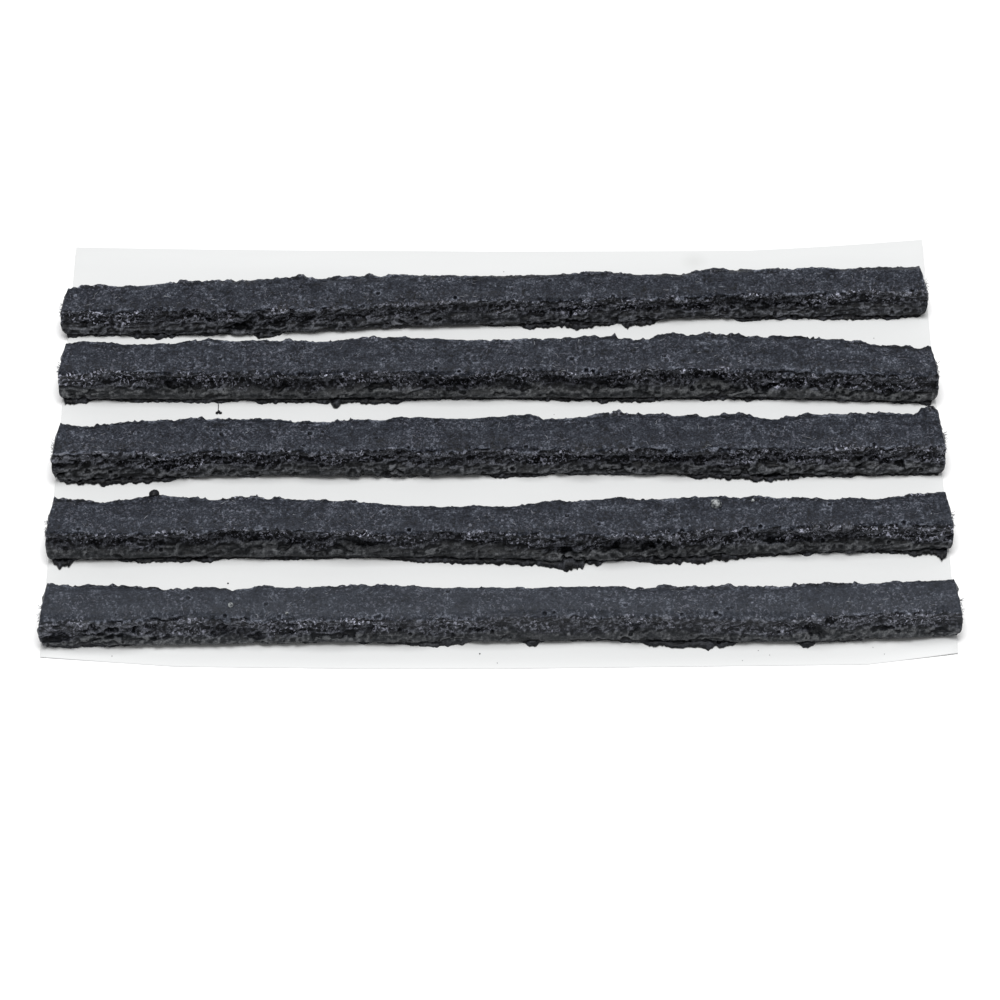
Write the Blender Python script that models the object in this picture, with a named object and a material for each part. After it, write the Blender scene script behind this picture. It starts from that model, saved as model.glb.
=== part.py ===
"""Five tyre repair plugs on their release film.

Each plug is a soft rubber strip moulded round a core of four twisted yarns. The plugs lie side by side on a
thin film, as long as they are, whose two ends lift a little off the table. Each one peels off the film.

Metres, +Z up. +X runs along the plugs, +Y from the near edge of the film to the far one, and the origin is on
the table under the middle of the film. Plug 1 is the far one and plug 5 the near one.
"""

import math
from collections import namedtuple

import bmesh
import bpy

MM = 0.001

# The film.
FILM_LENGTH = 100 * MM
FILM_WIDTH = 64.8 * MM
FILM_THICKNESS = 0.15 * MM
FILM_CELLS = (20, 8)
FLAT_HALF_LENGTH = 20 * MM  # the film lies flat on the table this far each side of its middle
END_LIFT = 0.3 * MM  # how high both ends stand off the table
FAR_CORNER_CURL = 0.7 * MM  # how much more the far right corner stands up
CURL_EDGE = 24 * MM  # the far margin that curls starts at this Y
# How far the cut edges stray inwards from the true rectangle, as (x, distance).
NEAR_TRIM = (
    (-50 * MM, 1.6 * MM),
    (-35 * MM, 0.3 * MM),
    (-15 * MM, 0),
    (0, 0),
    (40 * MM, 0.6 * MM),
    (50 * MM, 2.1 * MM),
)
FAR_TRIM = ((-50 * MM, 0.6 * MM), (0, 1.0 * MM), (30 * MM, 0.9 * MM), (50 * MM, 0))

# The plugs.
PLUG_LENGTH = 100 * MM
PLUG_SPANS = 16
CORNER_RADIUS = 0.9 * MM
CORNER_STEPS = 2
SEAT_GAP = 0.3 * MM  # between the film and the plugs, so that the solids stay apart
SHADE_ANGLE = math.radians(40)

# The yarns, and the round channel that they fill.
YARNS = 4
YARN_RADIUS = 0.45 * MM
YARN_ORBIT = 0.80 * MM  # from the plug's centreline to a yarn's
YARN_TURNS = 3
YARN_POINTS = 25
CHANNEL_RADIUS = 1.5 * MM

# Each plug's slip along X and its height, then the Y of its middle and its width, both in mm, at six even
# stations from left to right.
Plug = namedtuple("Plug", "slip height middles widths")
PLUGS = (
    Plug(-0.5 * MM, 3.9 * MM, (19.2, 20.2, 21.3, 21.6, 22.5, 22.4), (3.9, 5.1, 5.2, 4.4, 4.5, 4.2)),
    Plug(-0.1 * MM, 4.5 * MM, (9.3, 9.9, 10.1, 10.2, 10.5, 8.9), (4.6, 5.5, 5.5, 5.6, 6.1, 4.5)),
    Plug(0.0 * MM, 4.2 * MM, (-2.8, -2.0, -1.8, -1.5, -1.6, -1.5), (5.2, 5.3, 5.4, 5.3, 5.6, 5.7)),
    Plug(0.1 * MM, 4.3 * MM, (-14.5, -14.0, -14.5, -14.4, -13.7, -13.6), (5.6, 5.4, 4.5, 5.4, 5.0, 4.3)),
    Plug(0.2 * MM, 4.2 * MM, (-27.0, -26.6, -26.6, -26.5, -26.5, -25.9), (5.5, 5.0, 4.8, 4.4, 4.9, 4.8)),
)


def clear_scene():
    for obj in list(bpy.data.objects):
        bpy.data.objects.remove(obj, do_unlink=True)


def material(name, colour, roughness, alpha=1.0):
    made = bpy.data.materials.new(name)
    made.use_nodes = True
    shader = made.node_tree.nodes["Principled BSDF"]
    shader.inputs["Base Color"].default_value = (*colour, 1)
    shader.inputs["Roughness"].default_value = roughness
    shader.inputs["Metallic"].default_value = 0
    shader.inputs["Alpha"].default_value = alpha
    return made


def clamp(value):
    return max(0.0, min(1.0, value))


def along(points, x):
    """The value at x on the straight runs through (x, value) points."""
    for (x0, v0), (x1, v1) in zip(points, points[1:]):
        if x <= x1:
            return v0 + (v1 - v0) * clamp((x - x0) / (x1 - x0))
    return points[-1][1]


def smooth(values, t):
    """The value at t, from 0 to 1, on a smooth curve through evenly spaced values."""
    place = clamp(t) * (len(values) - 1)
    i = min(int(place), len(values) - 2)
    f = place - i
    before, a, b, after = (values[max(0, min(k, len(values) - 1))] for k in (i - 1, i, i + 1, i + 2))
    rise_a, rise_b = (b - before) / 2, (after - a) / 2
    return a + f * rise_a + f * f * (3 * (b - a) - 2 * rise_a - rise_b) + f**3 * (rise_a + rise_b - 2 * (b - a))


def lift(x, y):
    """How high the film's underside stands off the table."""
    end = clamp((abs(x) - FLAT_HALF_LENGTH) / (FILM_LENGTH / 2 - FLAT_HALF_LENGTH))
    margin = clamp((y - CURL_EDGE) / (FILM_WIDTH / 2 - CURL_EDGE))
    curl = FAR_CORNER_CURL * margin * margin if x > 0 else 0
    return (END_LIFT + curl) * end * end


def mesh_object(name, shape, look, parent=None):
    """An object from a bmesh, shaded smooth but for its edges."""
    mesh = bpy.data.meshes.new(name)
    shape.to_mesh(mesh)
    shape.free()
    mesh.materials.append(look)
    mesh.shade_smooth()
    mesh.set_sharp_from_angle(angle=SHADE_ANGLE)
    obj = bpy.data.objects.new(name, mesh)
    bpy.context.scene.collection.objects.link(obj)
    obj.parent = parent
    return obj


def make_film(look):
    """The film's underside as a grid, cut and lifted, with its thickness added upwards."""
    shape = bmesh.new()
    bmesh.ops.create_grid(shape, x_segments=FILM_CELLS[0], y_segments=FILM_CELLS[1], size=0.5)
    for vert in shape.verts:
        x = vert.co.x * FILM_LENGTH
        near = -FILM_WIDTH / 2 + along(NEAR_TRIM, x)
        far = FILM_WIDTH / 2 - along(FAR_TRIM, x)
        y = near + (vert.co.y + 0.5) * (far - near)
        vert.co = (x, y, lift(x, y))
    film = mesh_object("release_film", shape, look)
    solidify = film.modifiers.new("thickness", "SOLIDIFY")
    solidify.thickness = FILM_THICKNESS
    solidify.offset = 1


def section(width, height):
    """A rounded rectangle's (y, z) points, its middle at the bottom, anticlockwise seen from +X."""
    points = []
    for quarter, (side, top) in enumerate(((1, 1), (-1, 1), (-1, 0), (1, 0))):
        y = side * (width / 2 - CORNER_RADIUS)
        z = height - CORNER_RADIUS if top else CORNER_RADIUS
        for step in range(CORNER_STEPS + 1):
            angle = math.pi / 2 * (quarter + step / CORNER_STEPS)
            points.append((y + CORNER_RADIUS * math.cos(angle), z + CORNER_RADIUS * math.sin(angle)))
    return points


def channel_section(height, count):
    """The yarn channel's (y, z) points, as many as the outer section has, each facing the same way."""
    turn = 2 * math.pi / count
    return [
        (CHANNEL_RADIUS * math.cos(turn * (k + 0.5)), height / 2 + CHANNEL_RADIUS * math.sin(turn * (k + 0.5)))
        for k in range(count)
    ]


def centre_of(plug, t):
    """The middle of the plug's seat at t along it, in the film's frame."""
    x = plug.slip + (t - 0.5) * PLUG_LENGTH
    y = smooth(plug.middles, t) * MM
    return x, y, lift(x, y) + FILM_THICKNESS + SEAT_GAP


def make_rubber(name, plug, parent, look):
    """The strip: an outer skin and a yarn channel, lofted along the plug and joined at its two ends."""
    shape = bmesh.new()
    skins = []
    for span in range(PLUG_SPANS + 1):
        t = span / PLUG_SPANS
        x, y, z = centre_of(plug, t)
        outer = section(smooth(plug.widths, t) * MM, plug.height)
        inner = channel_section(plug.height, len(outer))
        place = (x - parent.location.x, y - parent.location.y, z - parent.location.z)
        skins.append([
            [shape.verts.new((place[0], place[1] + v, place[2] + w)) for v, w in ring] for ring in (outer, inner)
        ])
    count = len(skins[0][0])
    for first, second in zip(skins, skins[1:]):
        for layer in (0, 1):
            for k in range(count):
                following = (k + 1) % count
                corners = (first[layer][k], first[layer][following], second[layer][following], second[layer][k])
                shape.faces.new(corners)
    for outer, inner in (skins[0], skins[-1]):
        for k in range(count):
            following = (k + 1) % count
            shape.faces.new((outer[k], outer[following], inner[following], inner[k]))
    bmesh.ops.recalc_face_normals(shape, faces=shape.faces)
    mesh_object(name, shape, look, parent)


def make_yarn(name, plug, number, parent, look):
    """One of the plug's yarns, a tube winding round the plug's centreline."""
    curve = bpy.data.curves.new(name, "CURVE")
    curve.dimensions = "3D"
    curve.bevel_depth = YARN_RADIUS
    curve.bevel_resolution = 1
    curve.use_fill_caps = True
    spline = curve.splines.new("POLY")
    spline.points.add(YARN_POINTS - 1)
    for k, point in enumerate(spline.points):
        t = k / (YARN_POINTS - 1)
        x, y, z = centre_of(plug, t)
        angle = 2 * math.pi * (YARN_TURNS * t + number / YARNS)
        point.co = (
            x - parent.location.x,
            y + YARN_ORBIT * math.cos(angle) - parent.location.y,
            z + plug.height / 2 + YARN_ORBIT * math.sin(angle) - parent.location.z,
            1,
        )
    curve.materials.append(look)
    obj = bpy.data.objects.new(name, curve)
    bpy.context.scene.collection.objects.link(obj)
    obj.parent = parent


def make_plug(number, plug, rubber, yarn):
    """A plug under an empty at its seat's middle, which it lifts from."""
    name = f"plug_{number}"
    lifter = bpy.data.objects.new(name, None)
    lifter.location = centre_of(plug, 0.5)
    bpy.context.scene.collection.objects.link(lifter)
    make_rubber(f"{name}_rubber", plug, lifter, rubber)
    for k in range(YARNS):
        make_yarn(f"{name}_yarn_{k + 1}", plug, k, lifter, yarn)


def main():
    clear_scene()
    rubber = material("uncured rubber", (0.03, 0.033, 0.042), 0.55)
    yarn = material("rubber-soaked yarn", (0.07, 0.065, 0.06), 0.8)
    film = material("release film", (0.8, 0.81, 0.8), 0.35, 0.9)
    make_film(film)
    for number, plug in enumerate(PLUGS, 1):
        make_plug(number, plug, rubber, yarn)
    bpy.context.view_layer.update()


main()
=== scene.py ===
"""Five tyre repair plugs lying on their release film.

Each plug is a strip of soft, tarry rubber with twisted yarns inside. Its course and size come from its CAD
solid. Its skin, with the pressed top, the torn sides, the pits, lumps and loose fibres, is made here.

Metres, +Z up, +X along the plugs, plug 1 on the far side and plug 5 nearest.
"""

import math
from collections import namedtuple

import bmesh
import bpy
import numpy as np
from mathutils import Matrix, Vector


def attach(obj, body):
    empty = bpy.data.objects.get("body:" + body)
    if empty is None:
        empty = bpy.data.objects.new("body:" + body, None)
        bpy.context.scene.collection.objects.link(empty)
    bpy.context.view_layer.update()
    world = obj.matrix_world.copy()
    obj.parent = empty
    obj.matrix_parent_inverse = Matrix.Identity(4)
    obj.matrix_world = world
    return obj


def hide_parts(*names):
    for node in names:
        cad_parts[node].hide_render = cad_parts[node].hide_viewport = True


MM = 0.001
SEAT_GAP = 0.3 * MM  # between the film and the plugs' solids, which the soft strips close
PLUGS = range(1, 6)
YARNS = range(1, 5)

# The camera: how high it looks from, how far off, through which lens and at what.
CAMERA_ELEVATION = math.radians(48.4)
CAMERA_DISTANCE = 0.498
CAMERA_LENS = 159.6
CAMERA_AIM = Vector((0.0001, -0.00785, 0.0))
CAMERA_CLIPS = (0.01, 10)

# The light: a softbox over the table, in a white room. The floor ends far outside the view.
SOFTBOX_PLACE = Vector((0, -0.02, 0.7))
SOFTBOX_SIDE = 0.45
SOFTBOX_WATTS = 4.85
ROOM_STRENGTH = 0.45
FLOOR_HALF = 1.5
FLOOR_DROP = 0.02 * MM  # keeps the table clear of the film's flat part

# How finely a strip's skin is made.
RINGS = 680
ROUND_POINTS = 136
RING_PITCH = 0.147  # mm from ring to ring
COLUMN_PITCH = 0.12  # mm from point to point round a ring, on average
CAP_RINGS = 12
CAP_SHOWN = 0.4  # what the material reads all over the end caps
END_INSET = 0.3 * MM  # the end caps' domes fill this
PITS = 170  # pits and blebs on each strip
FIBRES = 90  # loose on each strip
FRAYS = 7  # fibres that stick out of each end of a yarn
FIBRE_RADIUS = 0.026 * MM
CRUMBS = 26  # on the film
CRUMB_ROWS = (26.8, 16.1, 3.6, -8.2, -20.5, -30.6)  # the free film's middle lines, as Y in mm
CORE_RADIUS = 1.45 * MM  # the yarns and the rubber that always covers them


def linear(code):
    """An sRGB hex colour as linear red, green, blue and alpha."""
    channels = [int(code[k : k + 2], 16) / 255 for k in (0, 2, 4)]
    return (*(c / 12.92 if c <= 0.04045 else ((c + 0.055) / 1.055) ** 2.4 for c in channels), 1)


def wire(tree, node, links):
    """Links a node's sockets to their sources: each an output, or a node for its first output."""
    for key, source in links.items():
        output = source.outputs[0] if isinstance(source, bpy.types.Node) else source
        tree.links.new(output, node.inputs[key])


def add(tree, kind, settings=None, links=None):
    """A new shader node. settings holds its properties, its sockets' values or a colour ramp's stops, and
    links its sockets' sources."""
    made = tree.nodes.new("ShaderNode" + kind)
    for key, value in (settings or {}).items():
        if key == "stops":
            elements = made.color_ramp.elements
            for k, (position, code) in enumerate(value):
                stop = elements[k] if k < 2 else elements.new(position)
                stop.position, stop.color = position, linear(code)
        elif isinstance(key, int) or key in made.inputs:
            made.inputs[key].default_value = value
        else:
            setattr(made, key, value)
    wire(tree, made, links or {})
    return made


def new_material(name, settings):
    """A material with a Principled shader, its node tree, the shader, and the coordinates to map it by."""
    made = bpy.data.materials.new(name)
    made.use_nodes = True
    tree = made.node_tree
    shader = tree.nodes["Principled BSDF"]
    for key, value in settings.items():
        shader.inputs[key].default_value = value
    return made, tree, shader, add(tree, "TexCoord").outputs["Object"]


def put(name, data):
    """A new object in the scene."""
    made = bpy.data.objects.new(name, data)
    bpy.context.scene.collection.objects.link(made)
    return made


def smooth_mesh(name, points, faces):
    mesh = bpy.data.meshes.new(name)
    mesh.from_pydata(points, [], faces)
    mesh.shade_smooth()
    return mesh


# ---- Noise on arrays of points ----


def lattice_values(cells, seed):
    """One number from -1 to 1 for each whole-numbered lattice cell."""
    mixed = np.full(cells.shape[:-1], seed * 2654435761)
    for axis, prime in enumerate((73856093, 19349663, 83492791)):
        mixed ^= cells[..., axis] * prime
    mixed &= 0xFFFFFFFF
    mixed = ((mixed ^ (mixed >> 15)) * 2246822519) & 0xFFFFFFFF
    mixed = ((mixed ^ (mixed >> 13)) * 3266489917) & 0xFFFFFFFF
    mixed ^= mixed >> 16
    return mixed / 0x7FFFFFFF - 1


def noise(points, size, seed):
    """Smooth noise from about -1 to 1, whose lumps are about size across. size may differ by axis."""
    scaled = points / np.asarray(size)
    cells = np.floor(scaled).astype(np.int64)
    f = scaled - cells
    f = f * f * f * (f * (f * 6 - 15) + 10)
    total = 0
    for corner in range(8):
        step = np.array([corner & 1, corner >> 1 & 1, corner >> 2 & 1])
        weight = np.prod(np.where(step, f, 1 - f), axis=-1)
        total = total + weight * lattice_values(cells + step, seed)
    return total


def fractal(points, size, seed, octaves=3):
    """Noise with finer and fainter layers of itself added."""
    total, reach = 0, 0
    for k in range(octaves):
        total = total + noise(points, np.asarray(size) / 2**k, seed + k) / 2**k
        reach += 1 / 2**k
    return total / reach


def smoothstep(low, high, value):
    """0 up to low, 1 past high and an even swing between; falls from 1 to 0 where low is above high."""
    t = np.clip((value - low) / (high - low), 0, 1)
    return t * t * (3 - 2 * t)


def blunt(value):
    """A round-topped hump, 1 at nought and next to nothing past 1.4."""
    return np.exp(-(value**4))


# ---- The strips ----

# A strip's side, from the middle of the underside out to the foot and up to the middle of the top, as (share
# of the half width, share of the height, how much of the hollow, of the lip and of the rounding it takes, how
# closely its skin is sampled). The side is hollowed under the top edge, bellies out below that, and ends in a
# thin lip.
SIDE = (
    (0.0, 0.0, 0, 0, 0, 0.3),
    (0.6, 0.0, 0, 0, 0, 0.3),
    (0.88, 0.0, 0, 0.3, 0, 0.8),
    (0.95, 0.006, 0, 0.8, 0, 1.6),
    (0.965, 0.02, 0, 1, 0, 2.0),
    (0.97, 0.045, 0, 0.6, 0, 1.7),
    (1.0, 0.08, 0, 0.1, 0, 1.5),
    (1.07, 0.125, 0, 0, 0, 1.5),
    (1.11, 0.19, 0, 0, 0, 1.4),
    (1.08, 0.27, 0.05, 0, 0, 1.4),
    (1.0, 0.36, 0.5, 0, 0, 1.4),
    (0.93, 0.46, 1.0, 0, 0, 1.5),
    (0.91, 0.6, 1.15, 0, 0, 1.5),
    (0.94, 0.74, 0.7, 0, 0.15, 1.6),
    (0.96, 0.84, 0.1, 0, 0.35, 1.7),
    (0.93, 0.915, 0, 0, 0.7, 1.6),
    (0.83, 0.965, 0, 0, 1, 1.3),
    (0.6, 0.99, 0, 0, 0.4, 1.05),
    (0.3, 1.0, 0, 0, 0, 1.0),
    (0.0, 1.003, 0, 0, 0, 1.0),
)
LIP_LEVEL = 0.045  # the share of the height where the lip is at its thickest
ROLL = (0.14, 0.06)  # how far a rounded edge draws in and down, as shares of the half width and the height
TYPICAL_HOLLOW = 0.12  # a share of the half width, from which the skin's points are spaced
FAR_SAMPLING = 0.55  # the far side is sampled this much as closely as the near one
FAR_SHRED = 0.6  # how torn the far side is
NEAR_STRAY = 2.2  # the near top edge wanders this much more than the far one

# What one strip has of its own. rough is how coarse its skin is, fibrous how much grain runs along it, ropey
# how much the slanting lay of the cord shows, creases how many folds run along it, pale how much bloom has
# settled on it and pressed how plain a grey band the film has left on its belly, a lighter grey that is
# partly painted reflection of the bright film. Four run along it as (x, size), in mm but for shred: hollow
# and lip are the near side's, and a lip below 0 is tucked in; far is how far out the far top edge strays;
# shred is how torn the near side is, from 0 to 1. marks are its lumps and dents.
Look = namedtuple("Look", "seed rough fibrous ropey creases pale pressed hollow lip far shred marks")

# A lump, or a dent where push is negative. x is where along the strip it is, level its height above the
# film, push how far it pushes the skin out, and along and across its reach, all in mm. side is -1 for the
# near side and 1 for the far one.
Mark = namedtuple("Mark", "x side level push along across")
LOOKS = {
    1: Look(
        11, 1.0, 1.0, 0.1, 16, 0, 0.3,
        hollow=((-50, 0.5), (-44, 0.6), (-40, 0.2), (-36, 0.4), (-20, 0.15), (0, 0.3), (9, 0.6), (15, 0.6),
            (22, 0.3), (29, 0.6), (34, 0.3), (40, 0.6), (50, 0.4)),
        lip=((-50, 0.3), (-43, 0.1), (-41, 0.6), (-38, 0.4), (-36, 0.1), (-28.6, 0.1), (-28.2, 0.6),
            (-27.9, 1.0), (-27.3, 0.75), (-26.4, 0.6), (-25.4, 0.4), (-24.6, -0.3), (-23, -0.7), (-4, -0.6),
            (-1, 0.2), (2, 0.2), (4, 0.6), (7, 0.3), (9, 0.8), (12, 0.5), (14, 0.1), (15, 0.8), (18, 0.4),
            (20, -0.4), (26, -0.4), (28, 0.4), (33, 0.2), (38, 0.4), (46, 0.3), (50, 0.2)),
        far=((-50, 0), (-39, 0.3), (-31, 0.4), (-23, -0.2), (-19, 0.2), (-9, 0.1), (-5, -0.4), (0, -0.2),
            (5, 0.1), (13, 0.2), (16, -0.3), (21, -0.5), (23, 0), (30, 0.2), (39, -0.2), (43, 0.3),
            (50, 0.8)),
        shred=((-50, 0.3), (-40, 0.4), (-32, 0.9), (-20, 0.8), (-10, 0.4), (0, 0.3), (8, 0.7), (18, 0.5),
            (28, 0.9), (44, 0.7), (50, 0.3)),
        marks=(Mark(-23, 1, 4.0, 0.3, 0.5, 0.4),),
    ),
    2: Look(
        12, 1.0, 0.4, 0.2, 8, 0.03, 0.9,
        hollow=((-50, 0.4), (-44, 0.5), (-36, 0.8), (-20, 0.7), (-12, 0.5), (-8, 0.8), (0, 0.9), (14, 0.8),
            (18, 0.5), (23, 0.9), (30, 0.8), (36, 0.5), (44, 0.4), (50, 0.2)),
        lip=((-50, 0.8), (-48.5, 0.6), (-46, 0.1), (-42, 0.3), (-31, 0.3), (-29, 0.1), (-27, 0.4),
            (-20, 0.4), (-19.4, 0.6), (-19.1, 1.3), (-18.4, 1.3), (-18.1, 0.5), (-12, 0.5), (-9, 0.2),
            (0, 0.1), (5, 0.3), (16, 0.5), (20, 0.2), (28, 0.4), (32, 0.1), (44, 0.2), (50, 0.4)),
        far=((-50, 0.3), (-41, 0.5), (-37, 0), (-33, 0.4), (-30.5, 0), (-21, -0.2), (-17, 0.5), (-9, 0.4),
            (-5, 0.5), (-1, -0.2), (9, 0.4), (12.9, 0.3), (13.3, 0.7), (13.6, -0.1), (16, -0.4), (19, 0.6),
            (22, 0.2), (33, 0.6), (38, 0.8), (43, 0.2), (50, 0.3)),
        shred=((-50, 0.3), (-44, 0.5), (-36, 0.3), (-24, 0.2), (-12, 0.5), (-4, 0.3), (8, 0.5), (20, 0.6),
            (32, 0.7), (42, 0.9), (50, 0.6)),
        marks=(Mark(18.3, 1, 4.6, 0.3, 0.35, 0.4), Mark(24, -1, 3.9, -0.4, 1.5, 0.5),
            Mark(47, -1, 2.0, 0.3, 1.6, 1.2)),
    ),
    3: Look(
        13, 0.9, 0.3, 1.0, 14, 0, 0.6,
        hollow=((-50, 0.1), (-40, 0.3), (-37, 0.7), (-20, 0.8), (-15, 0.5), (-10, 0.5), (-4, 0.3), (4, 0.5),
            (8, 0.7), (12, 0.3), (16, 0.6), (25, 0.4), (29, 0.8), (33, 0.6), (40, 0.3), (50, 0.4)),
        lip=((-50, 0), (-48.5, 0.7), (-44, 0.7), (-38, 0.5), (-36, 0.1), (-33, -0.2), (-12, -0.2),
            (-8, -0.3), (-2, 0), (0, 0.4), (4, 0.4), (6, 0), (20, 0.1), (23, 0.6), (33, 0.8), (35, 0.3),
            (40, 0.2), (50, 0.3)),
        far=((-50, 0.5), (-45, -0.4), (-41, -0.2), (-35, 0.3), (-27, 0.5), (-21, -0.4), (-13, -0.2),
            (-9, 0.2), (-5, -0.2), (1, 0.4), (3.6, 0.6), (5, -0.4), (11, 0.2), (15, 0.8), (20, 0.6),
            (28, 0.7), (33, -0.2), (38, 0.3), (43, 0.8), (48, 0), (50, -0.1)),
        shred=((-50, 1), (-40, 0.9), (-34, 0.6), (-26, 0.2), (-14, 0.9), (-6, 0.7), (4, 0.3), (10, 0.8),
            (16, 0.9), (26, 0.8), (36, 1), (50, 0.7)),
        marks=(Mark(48.6, 1, 4.2, 0.8, 1.3, 0.9),),
    ),
    4: Look(
        14, 0.85, 0.4, 0.3, 8, 0.05, 0.8,
        hollow=((-50, 0.7), (-44, 0.8), (-36, 0.6), (-26, 0.9), (-16, 0.8), (-12, 1.0), (2, 0.9), (5, 0.3),
            (9, 0.2), (13, 0.7), (20, 0.6), (26, 0.4), (31, 0.8), (36, 0.3), (41, 0.6), (50, 0.5)),
        lip=((-50, 0), (-49, 0.9), (-47.7, 0.8), (-47, 0), (-44, 0.1), (-40, 0.4), (-32, 0.4), (-29, 0.1),
            (-24, 0.3), (-20, 0.2), (-14, 0.1), (-10, 0.4), (-3, 0.5), (4, 0.6), (6.2, 0.7), (6.8, 1.3),
            (9.2, 1.4), (9.6, 0.3), (11, 0.6), (12, 0.1), (15, 0.2), (17, 0.6), (24, 0.9), (28, 0.3),
            (38, 0.1), (43, 0.3), (48, 0.8), (50, 1.3)),
        far=((-50, 0.6), (-43, 0), (-38, 0.7), (-32, -0.2), (-27, 0.5), (-17, 0.5), (-12, -0.3), (-3, -0.2),
            (5, -0.3), (11, 0.4), (19, 1.0), (24, 0.2), (29, 0), (36, -0.5), (41, -0.1), (46, 0.8),
            (50, 1.0)),
        shred=((-50, 0.2), (-38, 0.3), (-28, 0.6), (-18, 0.4), (-8, 0.2), (2, 0.4), (6, 1), (20, 1),
            (26, 0.7), (36, 0.9), (46, 0.8), (50, 0.6)),
        marks=(Mark(10, -1, 3.0, 0.35, 1.4, 0.5), Mark(14.5, -1, 2.6, 0.3, 1.0, 0.5),
            Mark(19, -1, 3.1, 0.3, 1.2, 0.4)),
    ),
    5: Look(
        15, 0.8, 0.25, 0.15, 5, 0.25, 0.9,
        hollow=((-50, 0.1), (-44, 0.3), (-34, 0.2), (-30, 0.5), (-26, 0.2), (-16, 0.4), (-10, 0.2),
            (-3, 0.4), (4, 0.1), (10, 0.1), (15, 0.4), (20, 0.2), (35, 0.3), (44, 0.4), (50, 0.2)),
        lip=((-50, 0.1), (-40, 0.2), (-37, -0.4), (-18, -0.4), (-9, 0.3), (-4, 0.3), (-2, -0.3), (2, -0.3),
            (3.6, 0.7), (5, -0.2), (15, 0.1), (17, 0.6), (25, 0.6), (27, -0.3), (32, -0.2), (33.6, 0.9),
            (35, -0.3), (50, -0.4)),
        far=((-50, 0.2), (-44, 0.5), (-37, 0), (-31, -0.2), (-29, -0.6), (-25, 0.6), (-19, -0.2),
            (-15, 0.4), (-11, 0.5), (-6, -0.2), (2, 0.1), (11, 0.5), (16, 0.2), (23, 0.3), (28, 0.4),
            (36, 0.5), (41, -0.1), (50, 0.2)),
        shred=((-50, 0.6), (-38, 1), (-22, 0.9), (-14, 0.3), (-4, 0.5), (4, 0.2), (14, 0.4), (20, 0.2),
            (32, 0.6), (44, 0.7), (50, 0.3)),
        marks=(Mark(-30, -1, 1.9, -0.6, 1.6, 0.5), Mark(-24, -1, 2.6, -0.4, 0.9, 0.4),
            Mark(-20.5, -1, 2.9, 0.3, 1.0, 0.5), Mark(-27, -1, 1.6, -0.35, 1.6, 0.7),
            Mark(-14, -1, 2.0, -0.3, 1.2, 0.7), Mark(14.8, -1, 2.0, -0.35, 1.0, 0.6),
            Mark(-4, -1, 1.0, -0.3, 1.8, 0.5)),
    ),
}


def catmull(before, a, b, after, f):
    """The point at f, from 0 to 1, between a and b on a smooth curve through all four."""
    square, cube = 2 * before - 5 * a + 4 * b - after, 3 * a - before - 3 * b + after
    return 0.5 * (2 * a + f * (b - before) + f**2 * square + f**3 * cube)


def eased(rows, place):
    """Rows of values read at each place, a number of rows along, on a smooth curve through them."""
    last = len(rows) - 1
    i = np.clip(place.astype(int), 0, last - 1)
    f = (place - i)[:, None]
    return catmull(rows[np.maximum(i - 1, 0)], rows[i], rows[i + 1], rows[np.minimum(i + 2, last)], f)


def stations(node):
    """A plug solid's stations as rows of x, near side, far side, bottom and top."""
    co = np.array([v.co for v in node.data.vertices])
    rows = []
    for x in np.unique(co[:, 0].round(4)):
        ring = co[np.abs(co[:, 0] - x) < 0.1 * MM]
        rows.append((x, ring[:, 1].min(), ring[:, 1].max(), ring[:, 2].min(), ring[:, 2].max()))
    return np.array(rows)


def ring_of_controls():
    """Both sides' control points as one ring: the near side going up, then the far side coming down."""
    near = np.array(SIDE)
    far = near[-2:0:-1].copy()
    near[:, 0] *= -1
    far[:, 5] *= FAR_SAMPLING
    return np.vstack([near, far])


def sampling(ring):
    """Where round the ring of controls the skin's points lie, as (control, fraction towards the next one)."""
    steps = np.linspace(0, 1, 16, endpoint=False)
    p = ring[:, :2] + ring[:, 2:3] * [TYPICAL_HOLLOW, 0] * np.sign(-ring[:, :1])
    fine = [catmull(np.roll(p, 1, 0), p, np.roll(p, -1, 0), np.roll(p, -2, 0), f) for f in steps]
    fine = np.stack(fine, 1).reshape(-1, 2)
    weight = np.repeat(ring[:, 5], len(steps))
    lengths = np.linalg.norm(np.roll(fine, -1, 0) - fine, axis=1) * weight
    run = np.concatenate([[0], np.cumsum(lengths)])
    even = np.linspace(0, run[-1], ROUND_POINTS, endpoint=False)
    at = np.interp(even, run, np.arange(len(run))) / len(steps)
    return at.astype(int), at % 1


def outward(points):
    """Each point's outward direction across the strip."""
    along = np.roll(points, -1, 1) - np.roll(points, 1, 1)
    out = np.stack([np.zeros(along.shape[:2]), -along[..., 2], along[..., 1]], axis=-1)
    return out / np.maximum(np.linalg.norm(out, axis=-1, keepdims=True), 1e-9)


def blurred(field, passes):
    """A field over the strip's grid, smoothed."""
    for _ in range(passes):
        field = (np.roll(field, 1, 1) + 2 * field + np.roll(field, -1, 1)) / 4
        ends = np.vstack([field[:1], field, field[-1:]])
        field = (ends[:-2] + 2 * field + ends[2:]) / 4
    return field


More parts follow.
